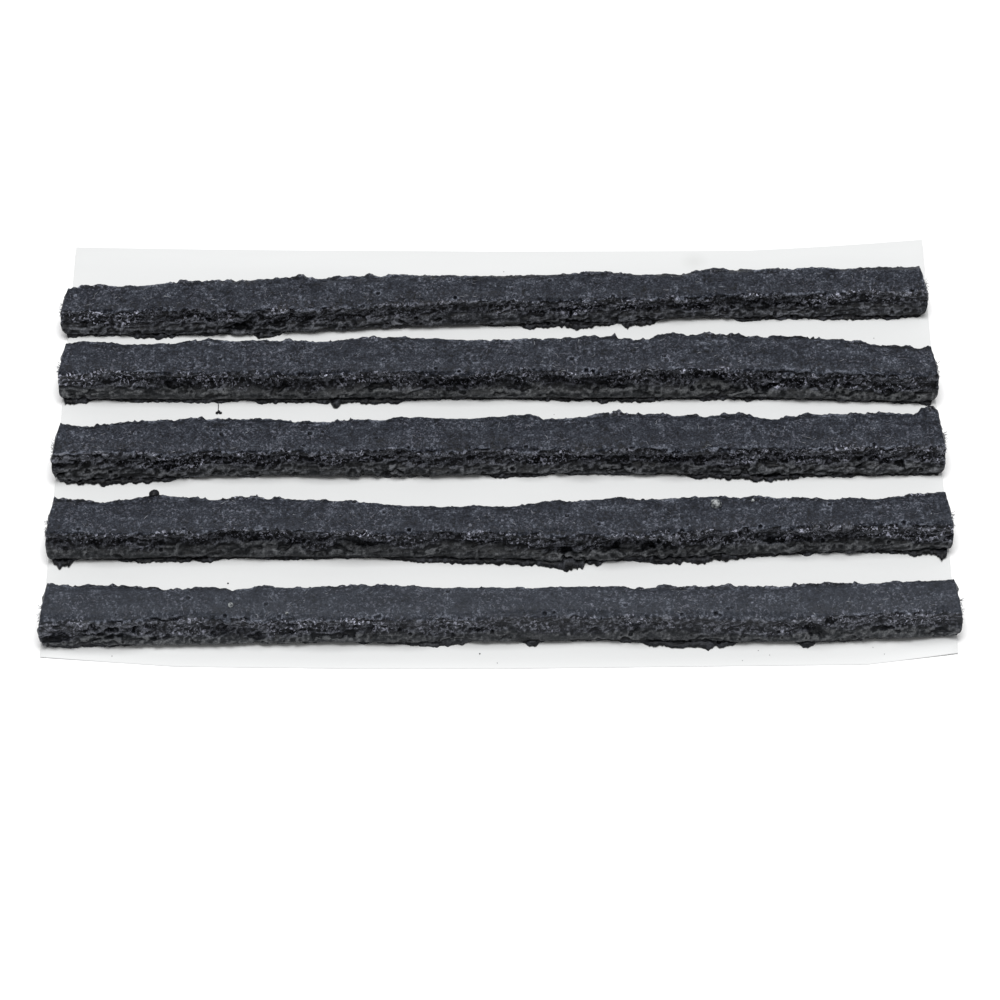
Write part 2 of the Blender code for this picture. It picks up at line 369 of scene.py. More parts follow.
class Strip:
    """A strip's skin as a grid of points, rings along X by places round its section."""

    def __init__(self, number):
        self.look = LOOKS[number]
        rows = stations(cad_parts[f"plug_{number}_rubber"])
        self.x = np.linspace(rows[0, 0] + END_INSET, rows[-1, 0] - END_INSET, RINGS)
        place = np.interp(self.x, rows[:, 0], np.arange(len(rows)))
        _, near, far, bottom, top = eased(rows, place).T
        self.bottom = bottom - SEAT_GAP
        self.half, self.height = (far - near) / 2, top - self.bottom
        self.middle = np.stack([self.x, (far + near) / 2, (self.bottom + top) / 2], -1)
        ring = ring_of_controls()
        self.open = {}  # how far each side's edge has torn open, ring by ring
        across, up = self.controls(ring)
        at, f = sampling(ring)
        count = len(ring)
        picks = [(at + k) % count for k in (-1, 0, 1, 2)]
        across = catmull(*(across[:, k] for k in picks), f)
        up = np.maximum(catmull(*(up[:, k] for k in picks), f), 0)
        plain = [ring[:, :2][k] for k in picks]
        self.across, self.up = catmull(*plain, f[:, None]).T[:, None]  # before it was hollowed or frayed
        base = np.empty((RINGS, ROUND_POINTS, 3))
        base[..., 0] = self.x[:, None]
        base[..., 1] = self.middle[:, 1:2] + across * self.half[:, None]
        base[..., 2] = self.bottom[:, None] + up * self.height[:, None]
        self.level = up * self.height[:, None]
        self.base, self.out = base, outward(base)
        self.push = np.zeros(base.shape[:2])
        self.lumps = 0
        self.face = self.faces()
        shred = np.interp(self.x, *np.array(self.look.shred).T * [[MM], [1]])
        self.shred = np.where(self.across < 0, shred[:, None], FAR_SHRED)

    def line_noise(self, size, seed, octaves=1):
        """Noise along the strip, one number for each ring. size is in mm."""
        points = np.stack([self.x, np.full(RINGS, seed * MM), np.zeros(RINGS)], -1)
        return fractal(points, size * MM, seed, octaves)

    def controls(self, ring):
        """The control points of every ring of skin, with their hollows, lips and wandering edges."""
        look, seed = self.look, self.look.seed * 1000
        across = np.repeat(ring[None, :, 0], RINGS, 0)
        up = np.repeat(ring[None, :, 1], RINGS, 0)
        for side in (-1, 1):
            mine = np.sign(ring[:, 0]) == side
            tag = seed + (1 + side) * 50
            if side < 0:
                hollow = np.interp(self.x, *np.array(look.hollow).T * MM)
                lip = np.interp(self.x, *np.array(look.lip).T * MM)
            else:
                hollow = 0.5 * MM * (1 + 0.8 * self.line_noise(9, tag + 1))
                lip = 0.45 * MM * (1 + self.line_noise(5, tag + 2))
                strayed = np.interp(self.x, *np.array(look.far).T * MM) / self.half
                across += np.where(mine, strayed[:, None] * smoothstep(0.3, 0.7, ring[:, 1]) * ring[:, 0], 0)
            soft = 1 - smoothstep(0.15 * MM, 0.6 * MM, hollow * (1 + 0.5 * self.line_noise(6, tag + 4)))
            self.open[side] = (1 - soft)[:, None]
            hollow = hollow * (1 + 0.6 * self.line_noise(2.6, tag + 3, 2))
            lip = lip + 0.3 * MM * smoothstep(0.15 * MM, 0.45 * MM, lip)
            thick = 0.07 + 0.05 * self.line_noise(1.1, tag + 7, 2)
            thick = smoothstep(0.3 * MM, 1.2 * MM, lip) * thick
            up += np.where(mine, thick[:, None] * (ring[:, 3] > 0.5) * ring[:, 1] / LIP_LEVEL, 0)
            torn = 0.85 + 0.3 * self.line_noise(1.5, tag + 5, 2)
            torn = torn + 0.4 * self.line_noise(0.4, tag + 9, 2)
            inward = hollow[:, None] * ring[None, :, 2] - (lip * torn)[:, None] * ring[None, :, 3]
            across += np.where(mine, -side * inward / self.half[:, None], 0)
            across -= np.where(mine, side * ROLL[0] * soft[:, None] * ring[None, :, 4], 0)
            up -= np.where(mine, ROLL[1] * soft[:, None] * ring[None, :, 4], 0)
            rise = 0.09 * self.line_noise(6, tag + 11) + 0.06 * self.line_noise(2, tag + 13, 2)
            tall = smoothstep(0.1, 0.4, ring[:, 1]) * (1 - smoothstep(0.88, 1.0, ring[:, 1]))
            up += np.where(mine, rise[:, None] * tall, 0)
            stray = 0.03 * self.line_noise(4, tag + 17) + 0.04 * self.line_noise(1.3, tag + 19, 3)
            stray *= NEAR_STRAY if side < 0 else 1
            high = smoothstep(0.5, 0.8, ring[:, 1]) * np.abs(ring[:, 0])
            across += np.where(mine, stray[:, None] * high, 0)
        return across, up

    def faces(self):
        """How much each point belongs to each part of the strip's surface."""
        side = smoothstep(0.7, 0.88, np.abs(self.across))
        ragged = self.up + 0.06 * fractal(self.base, 1.4 * MM, self.look.seed, 3)
        ragged += 0.1 * fractal(self.base, (5 * MM, 9 * MM, 9 * MM), self.look.seed + 5)
        wide = np.where(self.across < 0, self.open[-1], self.open[1])
        high = smoothstep(0.36, 0.46, ragged) * (1 - smoothstep(0.88, 0.95, ragged))
        low = smoothstep(0.08, 0.13, ragged) * (1 - smoothstep(0.32, 0.42, ragged))
        return {
            "top": smoothstep(0.87, 0.93, ragged),
            "side": side * smoothstep(0.08, 0.14, self.up) * (1 - smoothstep(0.88, 0.97, self.up)),
            "near": smoothstep(0.5, 0.7, -self.across),
            "edge": side * smoothstep(0.64, 0.78, self.up) * (1 - smoothstep(0.95, 0.99, self.up)),
            "torn": side * (0.3 + 0.7 * wide) * high,
            "belly": side * low,
            "foot": side * (1 - smoothstep(0.09, 0.15, ragged)),
            "under": (1 - smoothstep(0.0, 0.02, self.up)) * (1 - smoothstep(0.85, 0.93, np.abs(self.across))),
        }

    def swell(self):
        """The strip's slow waves, its lumps and crumbs, and the strands that run along it."""
        look, base, face = self.look, self.base, self.face
        seed = look.seed * 100
        patches = smoothstep(-0.3, 0.4, noise(base, (9 * MM, 3 * MM, 3 * MM), seed + 17))
        rugged = 0.26 + 0.3 * face["side"] + 0.9 * face["torn"] * (0.5 + 0.7 * patches) - 0.2 * face["belly"]
        self.push += 0.12 * MM * fractal(base, (5 * MM, 2.2 * MM, 2.2 * MM), seed + 1)
        self.push += 0.2 * MM * look.rough * fractal(base, 1.5 * MM, seed + 5, 3) * rugged
        crumbs = 0.4 - np.abs(noise(base, 0.7 * MM, seed + 9))
        crumbs -= 0.7 * np.abs(noise(base, 0.36 * MM, seed + 10))
        self.push += 0.22 * MM * look.rough * crumbs * rugged * (0.6 + noise(base, 1.9 * MM, seed + 11))
        self.push += 0.06 * MM * noise(base, 0.28 * MM, seed + 12) * (0.4 + face["torn"])
        slanted = base.copy()
        slanted[..., 2] -= 0.1 * base[..., 0]
        # Crags: flakes that lie along the strip, with caves between them.
        turn = np.stack([fractal(base, 1.5 * MM, seed + k, 4) for k in (51, 55, 59)], -1)
        turned = slanted + 0.8 * MM * turn
        crags = 0.55 - 1.9 * np.abs(fractal(turned, (3.4 * MM, 1.3 * MM, 1.3 * MM), seed + 61, 3))
        self.push += 0.55 * MM * crags * (face["side"] - 0.35 * face["belly"]) * self.shred
        caves = smoothstep(0.15, 0.75, fractal(turned, (2.8 * MM, 1.1 * MM, 1.1 * MM), seed + 67, 3) * 1.25)
        self.push -= 0.7 * MM * caves * (face["side"] - 0.5 * face["foot"]) * (0.35 + 0.65 * self.shred)
        strands = 0.5 - np.abs(fractal(slanted, (6 * MM, 0.6 * MM, 0.6 * MM), seed + 13)) * 2.2
        strands += 0.5 * fractal(slanted, (3 * MM, 0.3 * MM, 0.3 * MM), seed + 14)
        strands *= (face["side"] - 0.4 * face["belly"]) * (0.35 + 0.65 * patches)
        self.push += 0.16 * MM * look.fibrous * strands
        # Ropes and ridges follow the slanting lay of the cord.
        laid = base.copy()
        laid[..., 0] = base[..., 0] * 0.8 + base[..., 2] * 0.6
        laid[..., 2] = base[..., 2] * 0.8 - base[..., 0] * 0.42
        ropes = 0.5 - np.abs(fractal(laid, (4 * MM, 0.9 * MM, 0.9 * MM), seed + 21, 3)) * 2.2
        ropes *= (face["side"] - 0.6 * face["belly"]) * (0.5 + 0.5 * patches)
        self.push += 0.3 * MM * look.ropey * ropes
        ridges = 0.4 - np.abs(fractal(laid, (1.8 * MM, 0.42 * MM, 0.42 * MM), seed + 27, 2)) * 1.8
        self.push += 0.16 * MM * ridges * (face["side"] - 0.5 * face["belly"]) * self.shred

    def crease(self, side, x, level, length, slope, depth, width, seed):
        """A fold along a side. Its upper lip stands proud, and the skin eases out again below it."""
        reach = (self.x > x - length) & (self.x < x + length)
        if not reach.any():
            return
        base = self.base[reach]
        fade = np.clip(1 - ((base[..., 0] - x) / length) ** 2, 0, 1)
        line = np.zeros(base.shape)
        line[..., 0] = base[..., 0]
        wander = 0.3 * MM * noise(line, 2.6 * MM, seed) + 0.12 * MM * noise(line, 0.8 * MM, seed + 1)
        below = (level + slope * (base[..., 0] - x) + wander - self.level[reach]) / width
        lip = smoothstep(-0.5, 0.0, below) * (1 - smoothstep(0.0, 0.12, below))
        hollow = smoothstep(0.0, 0.16, below) * (1 - smoothstep(0.2, 1.0, below))
        self.push[reach] += fade * smoothstep(0.7, 0.85, side * self.across) * (0.35 * lip - hollow) * depth

    def fold(self):
        """The creases over both sides."""
        random = np.random.default_rng(self.look.seed)
        for k in range(self.look.creases):
            side = -1 if k % 3 else 1
            x, level = random.uniform(-50, 50), random.uniform(0.9, 3.9)
            slope = random.uniform(-0.08, 0.1) + 0.25 * self.look.ropey * random.random()
            spans = ((1.2, 4), (0.08, 0.2), (0.3, 0.8))
            length, depth, width = (random.uniform(*span) * MM for span in spans)
            self.crease(side, x * MM, level * MM, length, slope, depth, width, self.look.seed * 50 + k)

    def mark(self):
        """Crumbs along the far top edge and the strip's own lumps and dents. The underside stays flat."""
        base, face = self.base, self.face
        seed = self.look.seed * 100
        bumps = smoothstep(0.0, 0.8, fractal(base, (1.1 * MM, 2 * MM, 2 * MM), seed + 35, 3))
        self.push += 0.13 * MM * face["edge"] * (1 - face["near"]) * bumps
        steps = smoothstep(0.1, 0.3, noise(base, (0.8 * MM, 1.5 * MM, 1.5 * MM), seed + 37))
        self.push += 0.05 * MM * face["edge"] * (1 - face["near"]) * steps
        self.push += 0.1 * MM * face["foot"] * noise(base, 0.4 * MM, seed + 41)
        for mark in self.look.marks:
            along, above = base[..., 0] / MM - mark.x, self.level / MM - mark.level
            near = blunt(along / mark.along) * blunt(above / mark.across)
            near *= 1 + 1.3 * fractal(base, 0.8 * MM, seed + 71)
            self.lumps = self.lumps + mark.push * MM * near * smoothstep(0.5, 0.85, mark.side * self.across)
        self.push = (self.push + self.lumps) * (1 - face["under"])

    def pock(self):
        """Round pits left by bubbles, with raised rims, and small blebs, mostly low on the near side."""
        random = np.random.default_rng(self.look.seed + 1)
        self.points = self.base + self.out * self.push[..., None]
        likely = (0.15 + 0.6 * self.face["edge"] + 1.0 * self.face["belly"] * self.face["near"])[0]
        likely = np.where(self.up[0] > 0.05, likely, 0)
        depth = np.zeros(self.push.shape)
        for j in random.choice(ROUND_POINTS, PITS, p=likely / likely.sum()):
            i = random.integers(4, RINGS - 4)
            radius = 0.09 * MM + 0.17 * MM * random.random() ** 2
            pit = random.random() < 0.75
            strength = random.uniform(0.8, 1.6)
            reach = int(2.4 * radius / (0.1 * MM)) + 1
            rows = np.arange(max(0, i - reach), min(RINGS, i + reach + 1))
            columns = np.arange(j - reach, j + reach + 1) % ROUND_POINTS
            window = np.ix_(rows, columns)
            away = np.linalg.norm(self.points[window] - self.points[i, j], axis=-1) / radius
            if pit:
                shape = 0.2 * np.exp(-((away - 1.5) ** 2) * 6) - 1.4 * np.exp(-(away**2) * 1.3)
            else:
                shape = 0.9 * np.exp(-(away**2) * 1.1)
            depth[window] += shape * radius * strength
        self.push += depth
        self.points = self.points + self.out * depth[..., None]

    def cover(self):
        """Nowhere does the skin sink as deep as the yarns, nor into the film."""
        away = self.points[..., 1:] - self.middle[:, None, 1:]
        reach = np.maximum(np.linalg.norm(away, axis=-1, keepdims=True), 1e-6)
        self.points[..., 1:] += away / reach * np.maximum(CORE_RADIUS - reach, 0)
        self.points[..., 2] = np.maximum(self.points[..., 2], self.bottom[:, None])

    def slant(self):
        """The cut ends: neither is square, and both stand out most at the near side, half way up."""
        for end in (0, 1):
            away = np.abs(self.x - self.x[-end]) / MM
            sign = 2 * end - 1
            lean = 0.3 * np.clip(-self.across, -1, 1) + 0.25 * np.sin(np.pi * np.clip(self.up, 0, 1))
            tuck = smoothstep(0.35, 0.0, self.up) * smoothstep(0.2, 0.9, -self.across)
            self.points[..., 0] += sign * MM * (lean - 0.5 * tuck) * blunt(away / 1.5)[:, None]

    def shown(self):
        """What the material reads off the skin, each from 0 to 1."""
        relief = self.push - self.lumps
        fine = relief - blurred(relief, 6)
        broad = relief - blurred(relief, 40)
        # Painted light and shade from the relief: crests lighter, partly as dust caught on them, hollows
        # darker as shade.
        relief_shade_and_dust = 0.5 + fine / (0.09 * MM) + 0.6 * np.minimum(broad / (0.3 * MM), 0.5)
        ones = np.ones(self.push.shape)
        look = {name: self.face[name] * ones for name in ("top", "torn", "belly", "foot")}
        look["belly"] *= self.look.pressed
        look["haze"] = self.look.pale * (1 - 0.6 * self.face["side"]) * ones
        # Painted shade along the far top edge, darkened with the foot.
        rim = smoothstep(0.8, 0.92, self.across) * smoothstep(0.6, 0.8, self.up)  # the far edge is dark
        look["foot"] = np.clip(look["foot"] + 0.8 * rim, 0, 1)
        return look | {"relief_shade_and_dust": np.clip(relief_shade_and_dust, 0, 1)}


def on_skin(strip, ring, column):
    """The skin's point at a place between rings and columns."""
    ring = min(max(ring, 0), RINGS - 1.001)
    i, j = int(ring), int(column)
    f, g = ring - i, column - j
    points = strip.points
    j, following = j % ROUND_POINTS, (j + 1) % ROUND_POINTS
    first = points[i, j] * (1 - g) + points[i, following] * g
    return first * (1 - f) + (points[i + 1, j] * (1 - g) + points[i + 1, following] * g) * f


def on_top(strip, x, across):
    """The point of the strip's top at x and a share of its half width."""
    i = int(np.argmin(np.abs(strip.x - x)))
    column = np.where(strip.up[0] > 0.9, np.abs(strip.across[0] - across), 9).argmin()
    return strip.points[i, column]


def tube(path, radius, sides=5):
    """The points and faces of a thin closed tube, tapering to its two ends."""
    path = np.asarray(path)
    along = np.gradient(path, axis=0)
    side = np.cross(along, (0.31, 0.17, 1.0))
    side /= np.linalg.norm(side, axis=1, keepdims=True)
    up = np.cross(side, along)
    up /= np.linalg.norm(up, axis=1, keepdims=True)
    turn = np.linspace(0, 2 * math.pi, sides, endpoint=False)[:, None, None]
    taper = radius * (1 - 0.6 * np.abs(np.linspace(-1, 1, len(path))) ** 3)[:, None]
    points = (path + taper * (np.cos(turn) * side + np.sin(turn) * up)).transpose(1, 0, 2).reshape(-1, 3)
    faces = [tuple(range(sides))[::-1], tuple(range(len(points) - sides, len(points)))]
    for k in range(len(path) - 1):
        for n in range(sides):
            m = (n + 1) % sides
            faces.append((k * sides + n, k * sides + m, (k + 1) * sides + m, (k + 1) * sides + n))
    return points, faces


def lump(centre, size, seed, roughness=0.35, flat=0.8):
    """The points and faces of an irregular round lump."""
    shape = bmesh.new()
    bmesh.ops.create_icosphere(shape, subdivisions=3, radius=1)
    points = np.array([v.co for v in shape.verts])
    faces = [tuple(v.index for v in face.verts) for face in shape.faces]
    shape.free()
    points *= 1 + roughness * fractal(points, 0.8, seed)[:, None]
    return centre + points * size * [1, 1, flat], faces


def joined(name, parts):
    """One mesh of several closed parts."""
    points, faces = [], []
    for part_points, part_faces in parts:
        faces += [tuple(k + len(points) for k in face) for face in part_faces]
        points += part_points.tolist()
    return smooth_mesh(name, points, faces)


def cap_rings(rim, sign, seed):
    """The rings that close a strip's end, from its rim inwards, on a rough and slightly domed face."""
    centre = rim.mean(0)
    rings = []
    for k in range(1, CAP_RINGS):
        share = 1 - k / CAP_RINGS
        ring = centre + (rim - centre) * share
        rough = 0.3 * fractal(ring, 1.1 * MM, seed) + 0.2 * fractal(ring, 0.4 * MM, seed + 7)
        ring[:, 0] += sign * MM * (0.2 * (1 - share**4) + rough * min(1, 3 * (1 - share)))
        rings.append(ring)
    return rings, rings[-1].mean(0)


def strip_mesh(name, skin, shown, seed):
    """A closed mesh from the strip's skin, with a cap on each end, and what the material reads off it."""
    left, left_tip = cap_rings(skin[0], -1, seed)
    right, right_tip = cap_rings(skin[-1], 1, seed + 3)
    rings = left[::-1] + list(skin) + right
    points = np.vstack(rings + [left_tip, right_tip])
    j = np.arange(ROUND_POINTS)
    following = (j + 1) % ROUND_POINTS
    i = np.arange(len(rings) - 1)[:, None] * ROUND_POINTS
    quads = np.stack([i + j, i + following, i + ROUND_POINTS + following, i + ROUND_POINTS + j], -1)
    last = (len(rings) - 1) * ROUND_POINTS
    tips = len(rings) * ROUND_POINTS
    left_fan = np.stack([following, j, np.full(ROUND_POINTS, tips)], -1)
    right_fan = np.stack([last + j, last + following, np.full(ROUND_POINTS, tips + 1)], -1)
    faces = quads.reshape(-1, 4).tolist() + left_fan.tolist() + right_fan.tolist()
    mesh = smooth_mesh(name, points.tolist(), faces)
    cap = len(left) * ROUND_POINTS
    for title, values in shown.items():
        spread = np.full(len(points), CAP_SHOWN, np.float32)
        spread[cap : cap + values.size] = values.reshape(-1)
        mesh.attributes.new(title, "FLOAT", "POINT").data.foreach_set("value", spread)
    return mesh


def place(name, mesh, material, body, slot):
    """An object that rides on a body."""
    mesh.materials.append(material)
    piece = put(name, mesh)
    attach(piece, body)
    return piece


def make_strip(number, material):
    """One plug's strip, which stands for its rubber solid."""
    strip = Strip(number)
    strip.swell()
    strip.fold()
    strip.mark()
    strip.pock()
    strip.cover()
    strip.slant()
    name = f"plug_{number}_strip"
    mesh = strip_mesh(name, strip.points, strip.shown(), strip.look.seed * 7)
    piece = place(name, mesh, material, f"plug_{number}", "rubber")
    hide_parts(f"plug_{number}_rubber")
    return strip


def make_fibres(number, strip, material):
    """The short pale fibres that have come off the yarns and lie on the strip, and the frayed yarn ends."""
    random = np.random.default_rng(strip.look.seed + 20)
    likely = (strip.face["top"] + 0.5 * strip.face["edge"])[RINGS // 2] * (strip.across[0] < 0.9)
    columns = random.choice(ROUND_POINTS, FIBRES, p=likely / likely.sum())
    tufts = random.uniform(10, RINGS - 10, FIBRES // 6)
    parts = []
    for column in columns:
        ring, column = random.choice(tufts) + random.normal(0, 14), float(column)
        heading, bend = random.normal(0, 1.0), random.normal(0, 0.16)
        step = random.uniform(0.04, 0.15)
        path = []
        for k in range(7):
            height = 0.01 + 0.03 * math.sin(k / 6 * math.pi) * random.random()
            path.append(on_skin(strip, ring, column) + [0, 0, height * MM])
            ring += math.cos(heading) * step / RING_PITCH
            column += math.sin(heading) * step / COLUMN_PITCH
            heading += bend
        parts.append(tube(path, FIBRE_RADIUS))
    for k in YARNS:
        co = np.array([v.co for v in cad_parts[f"plug_{number}_yarn_{k}"].data.vertices])
        for sign in (-1, 1):
            end = co[sign * co[:, 0] > (sign * co[:, 0]).max() - 0.05 * MM].mean(0)
            for _ in range(FRAYS):
                spread = random.normal(0, 1, 2)
                reach = sign * random.uniform(0.15, 0.55)
                run = np.linspace(-0.3, 1, 6)
                path = [end + np.array([reach * t, *(spread * (0.2 + 0.25 * t * t))]) * MM for t in run]
                parts.append(tube(path, FIBRE_RADIUS))
    place(f"plug_{number}_fibres", joined("fibres", parts), material, f"plug_{number}", "yarn")


# The blisters, plug by plug: x in mm, share of the half width across the top, and radius in mm.
BEADS = {4: ((24.0, 0.45, 0.62), (28.2, 0.62, 0.22)), 5: ((-29.2, -0.3, 0.3), (-23, -0.7, 0.18))}
NODULE_X = -38.3 * MM
NODULE_RADIUS = 0.55 * MM
THREAD_X = -32.2 * MM
THREAD_RADIUS = 0.045 * MM
THREAD_CRUMBS = ((0, 0, 0.05), (0.2, -0.13, 0), (-0.2, -0.13, 0))  # round the thread's end, in mm
THREAD_CRUMB_RADIUS = 0.17 * MM


def make_beads(strips, blister, rubber):
    """The blisters on plugs 4 and 5, and the round nodule of rubber on plug 4's far edge."""
    for number, spots in BEADS.items():
        parts = []
        for x, across, size in spots:
            centre = on_top(strips[number], x * MM, across) + [0, 0, 0.25 * size * MM]
            parts.append(lump(centre, size * MM, int(number * 100 + x), 0.15, 0.85))
        place(f"plug_{number}_beads", joined("beads", parts), blister, f"plug_{number}", "rubber")
    nodule = lump(on_top(strips[4], NODULE_X, 0.95), NODULE_RADIUS, 3, 0.25, 0.85)
    place("plug_4_nodule", joined("nodule", [nodule]), rubber, "plug_4", "rubber")


def make_thread(strip, material):
    """The thread that plug 2's foot has drawn across the film, with crumbs at its end."""
    i = int(np.argmin(np.abs(strip.x - THREAD_X)))
    low = strip.points[i, (strip.up[0] > 0.005) & (strip.up[0] < 0.2)]
    foot = low[low[:, 1].argmin()]
    on_film = np.array([foot[0], foot[1], strip.bottom[i]])
    start, end = on_film + np.array([0, 0.2, 0.3]) * MM, on_film + np.array([0.2, -1.4, 0.08]) * MM
    path = []
    for t in np.linspace(0, 1, 12):
        sag = np.array([0.05 * math.sin(5 * t), 0, -0.12 * math.sin(math.pi * t)]) * MM
        path.append(start + (end - start) * t + sag)
    parts = [tube(path, THREAD_RADIUS)]
    parts += [lump(end + np.array(at) * MM, THREAD_CRUMB_RADIUS, k) for k, at in enumerate(THREAD_CRUMBS)]
    place("plug_2_thread", joined("thread", parts), material, "plug_2", "rubber")


# ---- The film ----

FILM_TOP = 0.15 * MM  # above the table, where the film lies flat
FILM_THICKNESS = 0.13 * MM  # a little less than the solid's, so that it clears the table
RIM_THICKNESS = 0.03 * MM  # at the cut edges
FILM_CELLS = (160, 96)
FLAT_MARGIN = (-29.2 * MM, -31.7 * MM)  # the near margin lies flat on the table past the second Y
RAY_HEIGHT = 50 * MM
JUST_INSIDE = (0.9999, 0.9995)  # keeps the rays off the film's very edges


def make_film(material):
    """The film, cut and lifted as its solid is, with its steps smoothed out and its edges thinned."""
    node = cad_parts["release_film"]
    co = np.array([v.co for v in node.data.vertices])
    edges = []
    for side in (-1, 1):
        line = co[side * co[:, 1] > (side * co[:, 1]).max() - 3 * MM]
        edges.append(line[np.argsort(line[:, 0])])
    x = np.linspace(edges[0][0, 0], edges[0][-1, 0], FILM_CELLS[0] + 1)
    near, far = (np.interp(x, line[:, 0], line[:, 1]) for line in edges)
    share = np.linspace(0, 1, FILM_CELLS[1] + 1)
    points = np.empty((len(x), len(share), 3))
    points[..., 0] = x[:, None]
    points[..., 1] = near[:, None] + share * (far - near)[:, None]
    for i in range(len(x)):
        for j in range(len(share)):
            start = Vector((points[i, j, 0] * JUST_INSIDE[0], points[i, j, 1] * JUST_INSIDE[1], RAY_HEIGHT))
            hit, spot, _, _ = node.ray_cast(start, Vector((0, 0, -1)))
            points[i, j, 2] = spot.z if hit else FILM_TOP
    z = points[..., 2]
    for _ in range(6):
        z[1:-1] = (z[:-2] + 2 * z[1:-1] + z[2:]) / 4
        z[:, 1:-1] = (z[:, :-2] + 2 * z[:, 1:-1] + z[:, 2:]) / 4
    z += smoothstep(*FLAT_MARGIN, points[..., 1]) * (FILM_TOP - z)
    low = points - [0, 0, FILM_THICKNESS]
    inner = np.zeros(z.shape, bool)
    inner[1:-1, 1:-1] = True
    z -= np.where(inner, 0, FILM_THICKNESS - RIM_THICKNESS)
    count = z.size
    grid = np.arange(count).reshape(z.shape)
    upper = np.stack([grid[:-1, :-1], grid[1:, :-1], grid[1:, 1:], grid[:-1, 1:]], -1).reshape(-1, 4)
    lower = upper[:, ::-1] + count
    rim = np.concatenate([grid[:, 0], grid[-1, 1:], grid[-2::-1, -1], grid[0, -2:0:-1]])
    after = np.roll(rim, -1)
    edge = np.stack([after, rim, rim + count, after + count], -1)
    corners = np.vstack([points.reshape(-1, 3), low.reshape(-1, 3)])
    mesh = smooth_mesh("film", corners.tolist(), np.vstack([upper, lower, edge]).tolist())
    mesh.set_sharp_from_angle(angle=math.radians(40))
    film = place("film", mesh, material, "film", "film")
    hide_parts("release_film")
    return film


def make_crumbs(film, material):
    """Crumbs of rubber that have dropped on the film between the plugs."""
    random = np.random.default_rng(4)
    parts = []
    for k in range(CRUMBS):
        x = random.uniform(-46, 46) * MM
        y = random.choice(CRUMB_ROWS) * MM + random.normal(0, 0.6) * MM
        hit, spot, _, _ = film.ray_cast(Vector((x, y, RAY_HEIGHT)), Vector((0, 0, -1)))
        if hit:
            size = (0.04 + 0.07 * random.random() ** 3) * MM
            parts.append(lump(np.array(spot) + [0, 0, size * 0.5], size, k))
    place("film_crumbs", joined("crumbs", parts), material, "film", "rubber")


# ---- Materials ----


